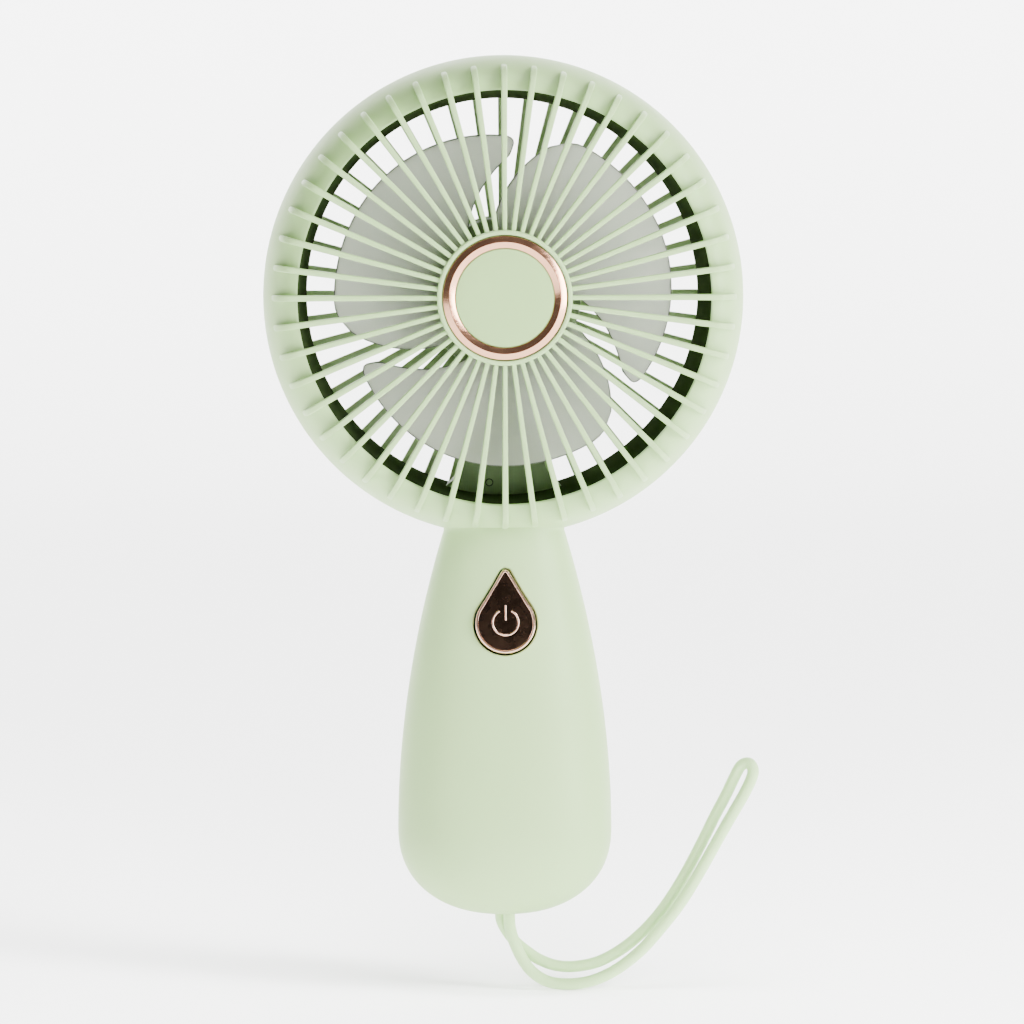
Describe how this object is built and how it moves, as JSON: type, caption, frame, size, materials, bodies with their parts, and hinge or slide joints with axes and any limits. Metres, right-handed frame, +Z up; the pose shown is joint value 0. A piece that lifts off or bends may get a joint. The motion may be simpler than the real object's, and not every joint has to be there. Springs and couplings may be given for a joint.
{
  "type": "handheld electric fan",
  "caption": "Handheld electric fan with a round ribbed head, a metal-ringed badge, an egg-shaped handle, a drop-shaped button and a moulded wrist loop.",
  "frame": {"origin": "grip point on the handle's centre line, 40 mm above the handle's bottom", "axes": "+Z up along the handle towards the head; -Y the way the fan blows, so the badge faces -Y; +X to the right seen from the front"},
  "size_m": [0.1137, 0.0344, 0.2154],
  "materials": {
    "shell_green": "satin",
    "duct_green": "satin",
    "badge_green": "fine matt",
    "rose_gold": "polished plate",
    "button_gold": "polished plate",
    "blade_frost": "frosted translucent",
    "silicone_green": "matt",
    "steel": "plain",
    "magnet": "bare",
    "brass": "plain",
    "winding": "enamelled copper",
    "black_plastic": "matt",
    "white_plastic": "satin",
    "board_green": "solder mask",
    "cell_wrap": "shrink wrap",
    "wire_red": "soft",
    "wire_black": "soft",
    "lens": "clear"
  },
  "bodies": {
    "body": {"front_grille": "shell_green", "rear_grille": "shell_green", "rear_body": "shell_green", "handle_front": "shell_green", "lanyard_anchor": "shell_green", "lanyard_loop": "silicone_green", "badge_ring": "rose_gold", "badge_disc": "badge_green", "motor_carrier": "duct_green", "motor_magnet": "magnet", "motor_can": "steel", "motor_end_cap": "black_plastic", "motor_bush": "brass", "motor_screw_1": "steel", "motor_screw_2": "steel", "head_screw_1": "steel", "head_screw_2": "steel", "head_screw_3": "steel", "shell_screw_1": "steel", "shell_screw_2": "steel", "shell_screw_3": "steel", "shell_screw_4": "steel", "pcb_screw_1": "steel", "pcb_screw_2": "steel", "cradle_screw_1": "steel", "cradle_screw_2": "steel", "switch_body": "black_plastic", "main_pcb": "board_green", "charge_led": "white_plastic", "charge_lens": "lens", "usb_board": "board_green", "usb_c_socket": "steel", "usb_tongue": "black_plastic", "battery_cell": "cell_wrap", "battery_tab_pos": "steel", "battery_tab_neg": "steel", "battery_cradle": "black_plastic", "motor_wire_pos": "wire_red", "motor_wire_neg": "wire_black", "battery_wire_pos": "wire_red", "battery_wire_neg": "wire_black"},
    "fan": {"impeller": "blade_frost", "motor_shaft": "steel", "rotor_core": "winding"},
    "button": {"button_cap": "button_gold"},
    "plunger": {"switch_plunger": "white_plastic"}
  },
  "joints": [
    {"name": "fan_spin", "type": "hinge", "parent": "body", "child": "fan", "pos_m": [0, 0, 0.1027], "axis": [0, 1, 0], "continuous": true},
    {"name": "button_press", "type": "slide", "parent": "body", "child": "button", "axis": [0, 0.9882, -0.153], "range_m": [0, 0.0006], "stiffness_N_per_m": 400},
    {"name": "switch_press", "type": "slide", "parent": "body", "child": "plunger", "axis": [0, 0.9882, -0.153], "range_m": [0, 0.0006]}
  ],
  "couplings": [
    {"joint": "switch_press", "follows": "button_press", "ratio": 1}
  ]
}
